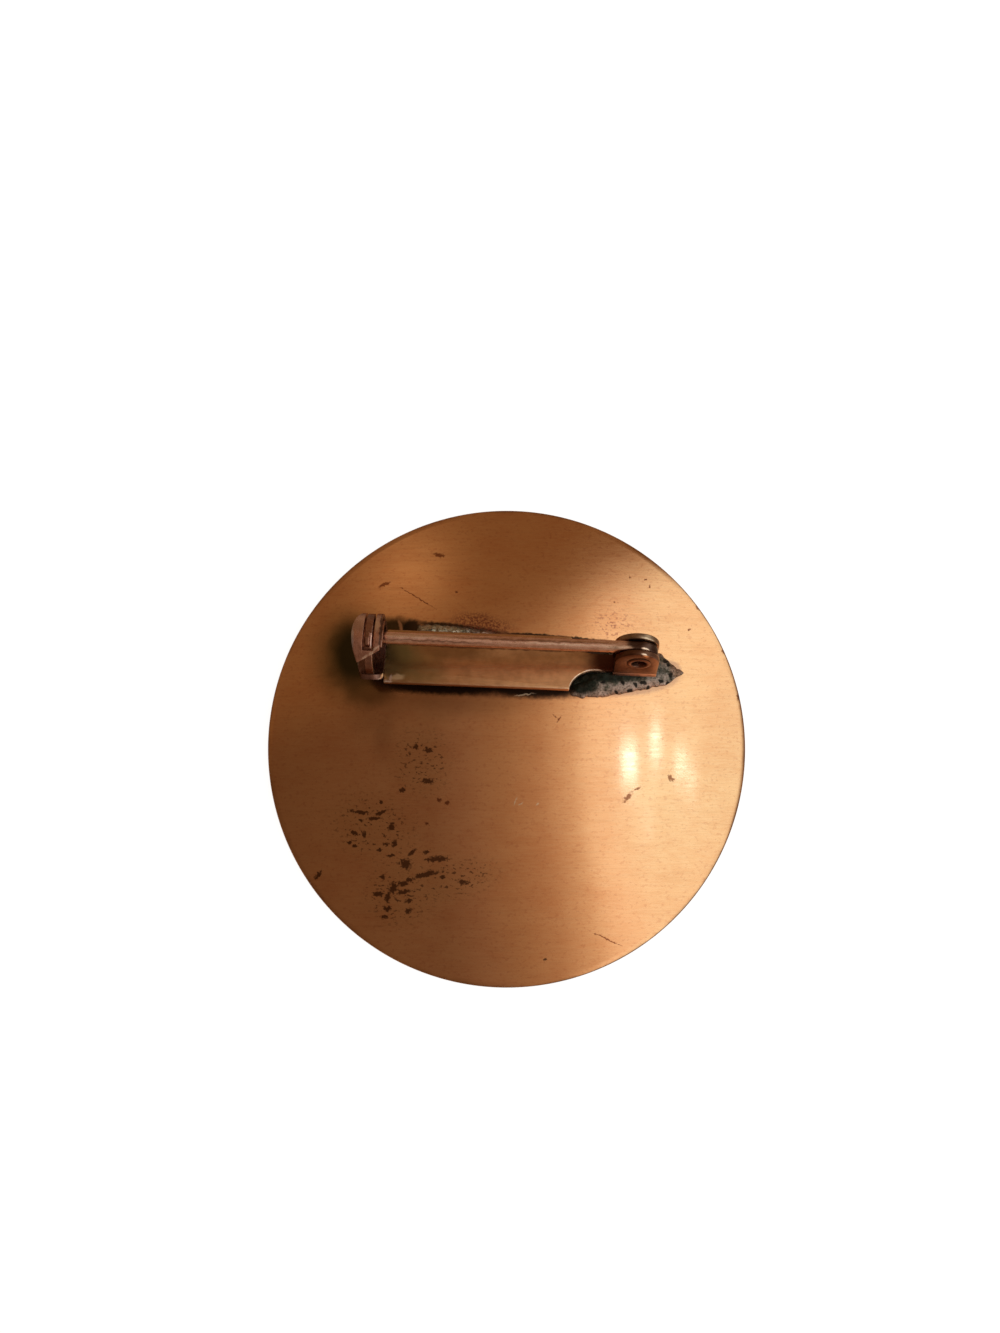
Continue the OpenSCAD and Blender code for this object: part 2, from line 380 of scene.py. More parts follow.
# %% Brush map
BRUSH_SCALE = 20
brush_map = disc.data.uv_layers.new(name="brush")
for loop in disc.data.loops:
    here = disc.data.vertices[loop.vertex_index].co
    brush_map.data[loop.index].uv = (here.y * BRUSH_SCALE + 0.5, here.x * BRUSH_SCALE + 0.5)
print("brush map over", len(brush_map.data), "corners")

# %% Copper finish
def place_mm(tree):
    """Where a point lies on the brooch, in millimetres."""
    here = add(tree, "ShaderNodeTexCoord").outputs["Object"]
    return calc_vector(tree, "MULTIPLY", here, (1000, 1000, 1000))


def grain(tree, place, size, stretch=(1, 1, 1), detail=3.0, rough=0.55):
    """Noise whose patches are size millimetres across, longer where stretch is over 1."""
    scale = tuple(1 / (size * s) for s in stretch)
    there = add(tree, "ShaderNodeMapping", {"Vector": place, "Scale": scale}).outputs[0]
    return add(tree, "ShaderNodeTexNoise",
               {"Vector": there, "Scale": 1.0, "Detail": detail, "Roughness": rough}
               ).outputs["Fac"]


copper, tree, shader = new_finish("brushed_copper")
shader.inputs["Anisotropic"].default_value = 0.8
tangent = add(tree, "ShaderNodeTangent", direction_type="UV_MAP", uv_map="brush")
tree.links.new(tangent.outputs[0], shader.inputs["Tangent"])
here = place_mm(tree)
fine = grain(tree, here, 0.10, (9, 1, 9), detail=2.0)
coarse = grain(tree, here, 0.24, (16, 1, 16), detail=3.0)
cloud = grain(tree, here, 3.2, (1.6, 1, 1), detail=5.0, rough=0.65)
dots = grain(tree, here, 0.22, (1.4, 1, 1), detail=2.0)
clean, browned = (0.95, 0.44, 0.18), (0.88, 0.37, 0.145)
scratched, polished, dotted = (0.62, 0.25, 0.09), (1.0, 0.54, 0.25), (0.62, 0.20, 0.08)
metal = tint(tree, between(tree, cloud, 0.35, 0.7), clean, browned)
metal = tint(tree, between(tree, coarse, 0.45, 0.8, 0.0, 0.2), metal, scratched)
metal = tint(tree, between(tree, fine, 0.42, 0.62, 0.0, 0.22), metal, polished)
metal = tint(tree, between(tree, dots, 0.56, 0.68, 0.0, 0.3), metal, dotted)
print("copper so far", len(tree.nodes), "nodes")

# %% [markdown]
# ## Stains and painted shadows on the copper
# Flux and heat left an olive halo by the catch and a reddish crust beside the solder. Shadows
# are painted over the copper too: in the halo by the catch, black under the bar with some flux
# in it, and a black line along the bar's far edge. Painting a picture of them would tie us to
# one size, so each stain is a soft oval in its real place, and noise bends its outline.

# %% Stain helpers
def marks(tree, place, rows):
    """Distance to the nearest of several ovals: 1 on its edge, less inside.

    Each row is x, y, half length, half width, turn in degrees."""
    nearest = None
    for x, y, long, wide, turn in rows:
        inside = add(tree, "ShaderNodeMapping",
                     {"Vector": place, "Location": (x, y, 0),
                      "Rotation": (0, 0, math.radians(turn)), "Scale": (long, wide, 1e6)},
                     vector_type="TEXTURE").outputs[0]
        far = add(tree, "ShaderNodeVectorMath", {0: inside}, operation="LENGTH").outputs[1]
        nearest = far if nearest is None else calc(tree, "MINIMUM", nearest, far)
    return nearest


def soft_ovals(tree, place, rows, soft):
    """1 inside the ovals, fading to 0 over a share soft of their size."""
    return between(tree, marks(tree, place, rows), 1 + soft, 1 - soft)


def wavy(tree, place, size, amount):
    """The place moved about by noise, so that outlines turn ragged."""
    there = add(tree, "ShaderNodeMapping",
                {"Vector": place, "Scale": (1 / size, 1 / size, 1 / size)}).outputs[0]
    colour = add(tree, "ShaderNodeTexNoise", {"Vector": there, "Scale": 1.0, "Detail": 3.0}
                 ).outputs["Color"]
    off = calc_vector(tree, "SUBTRACT", colour, (0.5, 0.5, 0.5))
    off = calc_vector(tree, "MULTIPLY", off, (amount, amount, amount))
    return calc_vector(tree, "ADD", place, off)


flat = wavy(tree, here, 1.6, 1.0)
rough_edge = wavy(tree, here, 0.3, 0.34)


def stain(rows, soft, where=flat):
    return soft_ovals(tree, where, rows, soft)


def both(a, b):
    return calc(tree, "MULTIPLY", a, b)


# %% Stains and painted shadows round the catch and the bar
# olive tarnish left of the catch, with the catch's shadow painted into it
halo_and_shadow = stain(((-12.3, 6.9, 2.8, 3.1, 8), (-10.9, 4.1, 2.1, 1.2, 0)), 0.6)
halo_core_and_shadow = stain(((-12.1, 7.0, 1.7, 2.6, 5), (-9.2, 9.2, 1.5, 0.75, 0)), 0.5)
metal = tint(tree, both(halo_and_shadow, 0.8), metal, (0.20, 0.115, 0.035))
metal = tint(tree, both(halo_core_and_shadow, 0.9), metal, (0.045, 0.035, 0.012))
# a soft painted shadow below the bar's near edge
shade = stain(((-4.5, 3.7, 5.8, 1.5, -2),), 0.7)
metal = tint(tree, both(shade, 0.5), metal, (0.36, 0.15, 0.055))
# black under the bar's near edge and under the notch: painted shadow, with some flux stain
bar_shadow_and_flux = stain(((-4.5, 4.9, 6.5, 1.25, -1.5), (2.0, 4.7, 5.0, 1.28, -2),
                   (7.4, 7.0, 1.7, 1.0, 0)), 0.2, rough_edge)
# the painted shadow's softer reddish-brown edge below the black
shadow_fringe = stain(((0.2, 4.0, 6.6, 0.62, -2.2),), 0.35, rough_edge)
metal = tint(tree, both(shadow_fringe, 0.6), metal, (0.16, 0.055, 0.03))
metal = tint(tree, both(bar_shadow_and_flux, 0.95), metal, (0.022, 0.012, 0.008))
smudge = stain(((-10.4, 2.6, 1.9, 1.8, 0), (-9.6, 1.1, 0.9, 2.2, 0)), 0.8)
metal = tint(tree, both(smudge, 0.3), metal, (0.30, 0.11, 0.04))
print("copper so far", len(tree.nodes), "nodes")

# %% Stains and painted shadow by the solder
# painted shadow in the gap along the bar's far edge and the bead, and in the hollow by the
# catch
far_edge_shadow = stain(((-3.5, 8.95, 3.7, 0.33, -8), (-7.5, 9.05, 0.8, 0.7, 0),
                (3.7, 8.25, 4.4, 0.16, -4.4)), 0.35, rough_edge)
metal = tint(tree, both(far_edge_shadow, 0.92), metal, (0.025, 0.018, 0.010))
ridge = stain(((-8.35, 9.2, 0.14, 0.5, 15),), 0.4)
metal = tint(tree, both(ridge, 0.8), metal, (0.75, 0.36, 0.17))
rust = (0.36, 0.105, 0.055)
crust = both(stain(((-2.0, 9.3, 2.3, 0.75, -8),), 0.5),
             between(tree, grain(tree, here, 0.15, detail=4.0, rough=0.7), 0.42, 0.56))
metal = tint(tree, both(crust, 0.9), metal, rust)
flecks = both(stain(((8.4, 9.1, 1.5, 1.3, 0),), 0.8, rough_edge),
              between(tree, grain(tree, here, 0.2, (1.5, 1, 1), 4.0), 0.52, 0.62))
metal = tint(tree, both(flecks, 0.7), metal, rust)
pool_edge = stain(((9.3, 4.9, 4.4, 1.3, 5), (12.6, 5.6, 1.25, 0.95, 10)), 0.12, rough_edge)
metal = tint(tree, both(pool_edge, 0.6), metal, (0.42, 0.19, 0.11))
print("copper so far", len(tree.nodes), "nodes")

# %% [markdown]
# ## Pits and specks
# Damp has eaten small dark pits into the lower left, with crumbs of brown between them.
# Noise alone would put them anywhere, so the larger ones have their real places: one row
# gives x, y, half length, half width and turn. The crumbs are noise, held to four patches.

# %% Pits
crumbly = between(tree, grain(tree, here, 0.17, detail=3.0), 0.3, 0.7, -0.35, 0.35)


def pitted(rows, soft, where):
    """Ovals whose edges crumble away."""
    far = calc(tree, "ADD", marks(tree, where, rows), crumbly)
    return between(tree, far, 1 + soft, 1 - soft)


pit_rows = (  # x, y, half length, half width, turn
    (-6.07, -3.06, 0.44, 0.22, 0), (-8.06, -3.74, 0.22, 0.18, 0), (-9.74, -4.66, 0.15, 0.11, 0),
    (-11.40, -5.43, 0.79, 0.14, -8), (-9.70, -5.47, 0.53, 0.13, 25),
    (-10.25, -5.93, 0.57, 0.13, 2), (-11.32, -6.08, 0.18, 0.11, 0),
    (-8.91, -6.59, 0.26, 0.33, -10), (-11.84, -7.05, 0.31, 0.13, -20),
    (-11.08, -7.17, 0.18, 0.24, 0), (-12.27, -7.82, 0.20, 0.13, 0),
    (-11.80, -8.05, 0.20, 0.13, -20), (-8.67, -7.86, 0.18, 0.29, -20),
    (-9.34, -7.90, 0.26, 0.11, 0), (-9.86, -8.36, 0.18, 0.11, 0),
    (-7.31, -8.59, 0.35, 0.13, 45), (-6.18, -8.51, 0.26, 0.13, 30),
    (-8.95, -8.78, 0.31, 0.11, 10), (-7.82, -9.40, 0.44, 0.40, 0),
    (-5.36, -9.05, 0.92, 0.22, 3), (-6.26, -10.24, 1.10, 0.20, 14),
    (-3.35, -10.81, 0.40, 0.18, -5), (-4.94, -10.43, 0.18, 0.13, 0),
    (-9.63, -10.44, 0.20, 0.18, 0), (-7.55, -10.66, 0.26, 0.15, 20),
    (-8.02, -10.93, 0.44, 0.20, 5), (-8.80, -11.28, 0.31, 0.48, -15),
    (-9.20, -11.98, 0.22, 0.35, -20), (-9.95, -11.75, 0.40, 0.20, 0),
    (-7.94, -11.59, 0.53, 0.13, 15), (-7.55, -12.28, 0.24, 0.20, 0),
    (-7.64, -13.05, 0.24, 0.20, 0), (-9.25, -12.91, 0.29, 0.22, 10),
    (-9.45, -13.53, 0.31, 0.13, 0), (-6.04, -0.67, 0.35, 0.20, -10),
    (-7.02, -0.42, 0.18, 0.20, 0), (-14.78, -10.31, 0.44, 0.18, 50),
    (2.99, -16.82, 0.15, 0.13, 0),
)
specks = pitted(pit_rows, 0.3, rough_edge)
print(len(pit_rows), "pits")

# %% Faint specks and crumbs
finer_edge = wavy(tree, rough_edge, 0.12, 0.07)
faint_rows = (
    (-5.40, 15.13, 0.40, 0.18, -10), (-3.99, 11.96, 0.13, 0.11, 0),
    (-9.80, 12.68, 0.44, 0.15, 30), (9.42, -4.30, 0.48, 0.17, 48),
    (10.15, -3.65, 0.42, 0.06, 35), (12.86, -2.79, 0.26, 0.18, -50),
    (-4.59, -4.76, 0.18, 0.15, 0), (-6.14, -6.33, 0.18, 0.15, 0),
    (-5.21, -4.52, 0.13, 0.18, 0), (4.1, 1.7, 0.24, 0.07, 50),
    (3.8, 1.9, 0.2, 0.05, -40), (15.4, 10.95, 0.22, 0.12, -55), (17.35, 7.4, 0.2, 0.12, -65),
    (18.5, 3.7, 0.3, 0.14, -80), (9.9, 13.3, 0.1, 0.09, 0), (11.2, 13.2, 0.13, 0.08, 0),
    (11.5, 12.6, 0.1, 0.1, 0), (14.6, 9.1, 0.11, 0.09, 0), (8.6, 11.2, 0.1, 0.08, 0),
    (7.75, -15.2, 1.15, 0.05, -25), (-7.10, 11.55, 1.5, 0.045, -33),
)
faint = pitted(faint_rows, 0.4, finer_edge)
patches = stain(((-10.3, -6.6, 3.2, 2.3, -20), (-8.2, -11.6, 2.6, 2.4, 20),
                 (-4.2, -10.6, 3.4, 1.4, 10), (-6.6, -1.6, 2.2, 2.4, 0)), 0.5, here)
crumbs = both(patches, between(tree, grain(tree, here, 0.2, (1.6, 1, 1), 3.0), 0.58, 0.64))
pits = calc(tree, "MAXIMUM", specks, both(crumbs, 0.85))
metal = tint(tree, both(patches, 0.12), metal, (0.40, 0.21, 0.07))
metal = tint(tree, both(pits, 0.88), metal, (0.10, 0.03, 0.012))
metal = tint(tree, both(faint, 0.85), metal, (0.24, 0.055, 0.016))
print(len(faint_rows), "faint specks and lines")

# %% Scratches and rim
scratches = stain(((0.7, -4.65, 0.3, 0.045, 65), (1.1, -4.8, 0.2, 0.04, 30),
                   (2.4, -4.85, 0.14, 0.05, 50), (1.4, 3.62, 0.7, 0.06, 8)), 0.5, finer_edge)
metal = tint(tree, both(scratches, 0.7), metal, (1.0, 0.75, 0.5))
spread = calc_vector(tree, "MULTIPLY", here, (1, 1, 0))
out_from_middle = add(tree, "ShaderNodeVectorMath", {0: spread}, operation="LENGTH").outputs[1]
worn_rim = calc(tree, "ADD", out_from_middle, calc(tree, "MULTIPLY", cloud, 0.7))
rim = between(tree, worn_rim, DISC_R + 0.1, DISC_R + 0.4)
metal = tint(tree, both(rim, 0.5), metal, (0.13, 0.06, 0.025))
tree.links.new(metal, shader.inputs["Base Color"])
print("copper in all", len(tree.nodes), "nodes")

# %% [markdown]
# ## Gloss and relief
# Clean copper is glossy; pits, the halo's core and the painted shadows by the bar are dull.
# The brush marks also stand in relief, far too fine for points and faces, so they are bump.

# %% Gloss and relief of the copper
def bump(tree, shader, height, depth):
    """Relief of depth millimetres."""
    node = add(tree, "ShaderNodeBump", {"Strength": 1.0, "Distance": depth * MM,
                                        "Height": height})
    tree.links.new(node.outputs[0], shader.inputs["Normal"])


def dress(piece, material):
    piece.data.materials.clear()
    piece.data.materials.append(material)
    print(piece.name, "wears", material.name)


GLOSSY, WORN, DULLER = 0.12, 0.16, 0.3
dull = calc(tree, "MAXIMUM", calc(tree, "MAXIMUM", pits, halo_core_and_shadow),
            calc(tree, "MAXIMUM", bar_shadow_and_flux, far_edge_shadow))
gloss = calc(tree, "ADD", between(tree, coarse, 0.3, 0.75, GLOSSY, WORN), both(dull, DULLER))
tree.links.new(gloss, shader.inputs["Roughness"])
relief = calc(tree, "ADD", both(fine, 0.25), both(coarse, 0.35))
relief = calc(tree, "ADD", relief, both(dots, 0.3))
bump(tree, shader, relief, 0.003)
dress(disc, copper)

# %% [markdown]
# ## The bar
# A strip punched from thin sheet, with a half-round notch on each side that leaves a neck
# in front of the hinge. One outline pushed to a thickness is how the press makes it too;
# the punch rounds its upper edges, which a small bevel gives. `bake_in` applies modifiers
# at once, so that the next step works on the real surface.

# %% Plate helpers
def bake_in(piece, *modifiers, sharp_deg=35):
    for kind, values in modifiers:
        modifier = piece.modifiers.new(kind.title(), kind)
        for key, value in values.items():
            setattr(modifier, key, value)
    ready = piece.evaluated_get(bpy.context.evaluated_depsgraph_get())
    mesh = bpy.data.meshes.new_from_object(ready)
    mesh.name = piece.name
    piece.modifiers.clear()
    piece.data = mesh
    smooth_by_angle(piece, sharp_deg)
    print(piece.name, len(mesh.polygons), "faces")


def rounded(width, angle=40):
    """A bevel that breaks the edges sharper than angle."""
    return ("BEVEL", dict(width=width * MM, segments=3, limit_method="ANGLE",
                          angle_limit=math.radians(angle), use_clamp_overlap=True))


def arc(cx, cy, radius, start, end, count):
    return [(cx + radius * math.cos(math.radians(start + (end - start) * i / count)),
             cy + radius * math.sin(math.radians(start + (end - start) * i / count)))
            for i in range(count + 1)]


def plate(name, outline, low, high, place):
    count = len(outline)
    points = [(x, y, low) for x, y in outline] + [(x, y, high) for x, y in outline]
    faces = [list(range(count - 1, -1, -1)), list(range(count, 2 * count))]
    faces += [(i, (i + 1) % count, (i + 1) % count + count, i + count) for i in range(count)]
    piece = make_piece(name, points, faces, "base", place)
    bake_in(piece, rounded(0.08))
    return piece


# %% Bar shape
HOUSE_X1, HOUSE_X0 = -9.4, -11.55
RIVET_X, RIVET_H = 10.1, 2.1
EAR_R, EAR_T, EAR_GAP, EAR_SHIFT = 1.7, 0.45, 0.9, 0.15
NOTCH_X, NOTCH_R, NECK = 6.9, 2.0, 0.7
ear_left, ear_right = RIVET_X - EAR_SHIFT - EAR_R, RIVET_X - EAR_SHIFT + EAR_R
ear_out = EAR_GAP / 2 + EAR_T
bite_front, bite_back = (math.degrees(math.asin((NECK + NOTCH_R - reach) / NOTCH_R))
                         for reach in (BAR_FRONT, BAR_BACK))
front_notch = arc(NOTCH_X, -NECK - NOTCH_R, NOTCH_R, 180 - bite_front, 90, 20)
back_notch = arc(NOTCH_X, NECK + NOTCH_R, NOTCH_R, 270, 180 + bite_back, 20)
foot_front, foot_back, foot_end = -1.3, 0.5, -10.8
outline = ([(HOUSE_X1, -BAR_FRONT)] + front_notch
           + [(ear_left, -NECK), (ear_left, -ear_out), (ear_right, -ear_out),
              (ear_right, ear_out), (ear_left, ear_out), (ear_left, NECK)]
           + back_notch + [(HOUSE_X1, BAR_BACK), (HOUSE_X1, foot_back), (foot_end, foot_back),
                           (foot_end, foot_front), (HOUSE_X1, foot_front)])
pin_bar = plate("pin_bar", outline, -BAR_T, 0.0, on_bar)

# %% [markdown]
# ## The ears
# The bar's end is folded up into two ears with a hole through both for the rivet. Each is
# a flat plate with a round head. We run spokes from the hole to the outline, so that both
# have the same number of points and the faces between them are all four-sided.

# %% Ear shapes
EAR_HOLE, SPOKES = 0.72, 72


def ear_edge(angle):
    """From the rivet's centre, how far the ear reaches at this angle."""
    c, s = math.cos(angle), math.sin(angle)
    if s >= 0:
        b = EAR_SHIFT * c
        return -b + math.sqrt(b * b + EAR_R ** 2 - EAR_SHIFT ** 2)
    sideways = (EAR_R - EAR_SHIFT if c > 0 else EAR_R + EAR_SHIFT) / max(abs(c), 1e-6)
    return min(sideways, (RIVET_H + BAR_T) / -s)


def make_ear(name, inside, outside):
    corners = [math.atan2(-RIVET_H - BAR_T, EAR_R - EAR_SHIFT),
               math.atan2(-RIVET_H - BAR_T, -EAR_R - EAR_SHIFT)]
    even = [-math.pi + 2 * math.pi * (i + 0.5) / SPOKES for i in range(SPOKES)]
    spokes = sorted(even + corners)
    count = len(spokes)
    points = []
    for y in (inside, outside):
        for hole in (True, False):
            for angle in spokes:
                far = EAR_HOLE if hole else ear_edge(angle)
                points.append((RIVET_X + far * math.cos(angle), y,
                               RIVET_H + far * math.sin(angle)))
    faces = []
    for i in range(count):
        j = (i + 1) % count
        for a, b in ((0, 1), (1, 3), (3, 2), (2, 0)):
            faces.append((a * count + i, a * count + j, b * count + j, b * count + i))
    ear = make_piece(name, points, faces, "base", on_bar)
    bake_in(ear, rounded(0.1, 50))
    return ear


ear_near = make_ear("ear_near", -EAR_GAP / 2, -ear_out)
ear_far = make_ear("ear_far", EAR_GAP / 2, ear_out)

# %% [markdown]
# ## The catch's housing
# A tab of the same sheet, rolled into a C whose mouth faces the lower edge, with a slot
# across its back for the lever. Rolling a grid of points round a cylinder keeps the walls
# even; three bands of columns leave the slot open, and the rows stop on a slanted lip.
# Angles go round the catch's axis: 0 is straight up, 90 faces the lower edge.

# %% Housing outline
HOUSE_R, HOUSE_T, HOUSE_Y, HOUSE_H = 2.55, 0.4, -0.4, 2.2
HOUSE_BULGE = 0.95
JAW_A, LIP_A, LIP_SLANT = 122, 44, math.radians(30)
JAW_CUT, NOSE_CUT, LIP_BAND = 13, 9, 2.5  # degrees
wall_r = HOUSE_R - HOUSE_T / 2
bulge_r = (HOUSE_R ** 2 + HOUSE_BULGE ** 2) / (2 * HOUSE_BULGE)


def outer_end(phi):
    """The rounded outer end of the tab, at this angle from straight up."""
    y = wall_r * math.sin(math.radians(phi))
    return HOUSE_X0 + bulge_r - math.sqrt(bulge_r ** 2 - y * y)


def off_middle(x):
    """-1 at the housing's outer end, 1 at its inner end."""
    return (2 * x - HOUSE_X1 - HOUSE_X0) / (HOUSE_X1 - HOUSE_X0)


def lip(x):
    """The angle of the slanted upper lip at x, cut back at the outer end."""
    lean = math.tan(LIP_SLANT) * (x - (HOUSE_X1 + HOUSE_X0) / 2) / wall_r
    nose = NOSE_CUT * max(0, -off_middle(x)) ** 5
    return 360 + LIP_A - math.degrees(math.asin(lean)) - nose


def jaw(x):
    """The angle of the lower jaw at x, cut back at both ends."""
    return JAW_A + JAW_CUT * abs(off_middle(x)) ** 4


print("lip from", round(lip(HOUSE_X0)), "to", round(lip(HOUSE_X1)), "degrees")

# %% Housing grid
SLOT_X, SLOT_W, SLOT_A0, SLOT_A1 = -10.26, 0.84, 207, 390
JAW_ROWS, SLOT_ROWS, LIP_ROWS = 12, 40, 4
END_COLUMNS, SLOT_COLUMNS, NEAR_COLUMNS = 6, 3, 3
slot_left, slot_right = SLOT_X - SLOT_W / 2, SLOT_X + SLOT_W / 2
rows = ([("jaw", t / JAW_ROWS) for t in range(JAW_ROWS)]
        + [("slot", t / SLOT_ROWS) for t in range(SLOT_ROWS)]
        + [("lip", t / LIP_ROWS) for t in range(LIP_ROWS + 1)])
columns = ([("end", t / END_COLUMNS) for t in range(END_COLUMNS)]
           + [("slot", t / SLOT_COLUMNS) for t in range(SLOT_COLUMNS + 1)]
           + [("near", t / NEAR_COLUMNS) for t in range(1, NEAR_COLUMNS + 1)])
print("housing", len(rows), "rows of", len(columns), "points")


def grid_place(part, t, band, s):
    """x and angle of one grid point. Each depends on the other, so we settle them in turns."""
    phi = JAW_A
    for _ in range(4):
        x = {"end": outer_end(phi) * (1 - s) + slot_left * s,
             "slot": slot_left * (1 - s) + slot_right * s,
             "near": slot_right * (1 - s) + HOUSE_X1 * s}[band]
        stop = min(SLOT_A1, lip(x) - LIP_BAND)
        phi = {"jaw": jaw(x) + (SLOT_A0 - jaw(x)) * t,
               "slot": SLOT_A0 + (stop - SLOT_A0) * t,
               "lip": stop + (lip(x) - stop) * t}[part]
    return x, phi


def round_catch(x, phi, radius):
    """A place round the catch's axis."""
    a = math.radians(phi)
    return (x, HOUSE_Y - radius * math.sin(a), HOUSE_H + radius * math.cos(a))


# %% Housing shape
points = [round_catch(*grid_place(part, t, band, s), wall_r)
          for part, t in rows for band, s in columns]
wide = len(columns)
faces = []
for r in range(len(rows) - 1):
    for c in range(wide - 1):
        if rows[r][0] == "slot" and END_COLUMNS <= c < END_COLUMNS + SLOT_COLUMNS:
            continue
        one = r * wide + c
        faces.append((one, one + 1, one + wide + 1, one + wide))
catch_housing = make_piece("catch_housing", points, faces, "base", on_bar)
bake_in(catch_housing,
        ("SOLIDIFY", dict(thickness=HOUSE_T * MM, offset=0, use_even_offset=True)),
        rounded(0.09, 50))

# %% [markdown]
# ## The rivet
# A short tube, its ends rolled outward over the ears. A closed profile turned about the
# rivet's axis gives the rolled lips and the hollow at once.

# %% Rivet shape
across = Matrix.Translation((RIVET_X, 0, RIVET_H)) @ Matrix.Rotation(math.radians(90), 4, "X")
seat = ear_out + 0.02
# Radius and distance out, from the tube over the rolled lip and into its bore.
half_profile = [(0.70, seat), (0.88, seat), (0.91, seat + 0.01), (0.87, seat + 0.035),
                (0.81, seat + 0.055), (0.73, seat + 0.065), (0.65, seat + 0.055),
                (0.585, seat + 0.03), (0.56, seat - 0.03)]
profile = [(r, -h) for r, h in reversed(half_profile)] + half_profile
points, faces = revolve(profile, 64, closed=True)
hinge_rivet = make_piece("rivet_tube", points, faces, "base", on_bar @ across, 50)
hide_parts("hinge_rivet")
print("rivet", len(faces), "faces")

# %% [markdown]
# ## The pin
# Hard wire, drawn to a point at one end and hammered flat at the other, where it is
# coiled into an eye round the rivet. The wire is one loft of rings whose outline turns
# from a circle to a rounded oblong; a union with the turned eye joins the two.

# %% Pin shape
WIRE_R, WIRE_H, TIP_X, POINT_L, TIP_R = 0.46, 3.1, -11.4, 2.4, 0.07
FLAT_X, EYE_R, EYE_HALF, PIN_BORE = 8.1, 1.46, 0.4, 0.76
RING = 40
point_end = TIP_X + POINT_L


def oblong(angle, half_y, half_z, power):
    c, s = math.cos(angle), math.sin(angle)
    return (math.copysign(abs(c) ** (2 / power), c) * half_y,
            math.copysign(abs(s) ** (2 / power), s) * half_z)


# Each station is x, radius (or less than 0: half width of the flat part) and squareness.
stations = [(TIP_X + POINT_L * t, TIP_R + (WIRE_R - TIP_R) * min(1, t * (1.35 - 0.35 * t)), 2)
            for t in (0, 0.03, 0.1, 0.2, 0.35, 0.5, 0.65, 0.8, 0.9, 1)]
stations += [(point_end + (FLAT_X - TIP_X - POINT_L) * t / 30, WIRE_R, 2)
             for t in range(1, 31)]
stations += [(FLAT_X + 0.12, -0.43, 2.4), (FLAT_X + 0.25, -0.41, 3.2), (FLAT_X + 0.4, -0.4, 4),
             (RIVET_X - 0.9, -0.4, 4), (RIVET_X, -0.4, 4)]
points = []
for x, size, power in stations:
    half_y, half_z = (size, size) if size > 0 else (-size, WIRE_R)
    points += [(x, *(Vector(oblong(2 * math.pi * i / RING, half_y, half_z, power))
                     + Vector((0, WIRE_H)))) for i in range(RING)]
faces = [(r * RING + i, r * RING + (i + 1) % RING, (r + 1) * RING + (i + 1) % RING,
          (r + 1) * RING + i) for r in range(len(stations) - 1) for i in range(RING)]
faces += [list(range(RING)), list(range((len(stations) - 1) * RING, len(stations) * RING))]
pin = make_piece("pin_wire", points, faces, "pin", on_bar, 50)
print("wire of", len(stations), "rings")

# %% Eye shape
EDGE_R, TURNS = 0.22, 72
corner = [(EYE_R - EDGE_R + EDGE_R * math.cos(a), EYE_HALF - EDGE_R + EDGE_R * math.sin(a))
          for a in (0, math.pi / 8, math.pi / 4, 3 * math.pi / 8, math.pi / 2)]
profile = [(r, -h) for r, h in reversed(corner)] + corner
profile = [(0, -EYE_HALF)] + profile + [(0, EYE_HALF)]
bore_profile = [(0, -2), (PIN_BORE, -2), (PIN_BORE, 2), (0, 2)]
eye = make_piece("eye_tool", *revolve(profile, TURNS), None, on_bar @ across)
bore = make_piece("bore_tool", *revolve(bore_profile, TURNS), None, on_bar @ across)
bake_in(pin, ("BOOLEAN", dict(operation="UNION", object=eye, solver="EXACT")),
        ("BOOLEAN", dict(operation="DIFFERENCE", object=bore, solver="EXACT")), sharp_deg=50)
for tool in (eye, bore):
    bpy.data.objects.remove(tool)
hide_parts("pin_stem")

# %% [markdown]
# ## The catch's rotor
# A half sleeve that turns inside the housing, with a lever through the slot and a tongue
# that closes the mouth. The measured solid has the right form but knife edges. Remeshing
# a copy in tiny cells and relaxing it rounds every edge the way tumbling does.

# %% Rotor shape
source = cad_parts["catch_rotor"]
rotor = bpy.data.objects.new("rotor", source.data.copy())
scene.collection.objects.link(rotor)
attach(rotor, "catch")
bake_in(rotor, ("WELD", dict(merge_threshold=0.001 * MM)),
        ("REMESH", dict(mode="VOXEL", voxel_size=0.035 * MM)),
        ("SMOOTH", dict(factor=0.5, iterations=3)), sharp_deg=180)
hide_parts("catch_rotor")

# %% [markdown]
# ## The solder
# Soft solder ran out under the hinge in a grey pool and caught along the bar's far edge.
# A pool has a ragged outline and a domed top. We draw the outline and a crest line, lay
# rings from one to the other on the dome, and roughen the top with noise.

# %% Solder helpers
def along(path, t):
    """The point at share t of a smooth path through these corners."""
    last = len(path) - 1
    i = min(int(t * last), last - 1)
    u = t * last - i
    a, b, c, d = (Vector(path[max(0, min(last, i + step))]) for step in (-1, 0, 1, 2))
    return b + 0.5 * u * (c - a + u * (2 * a - 5 * b + 4 * c - d + u * (3 * (b - c) + d - a)))


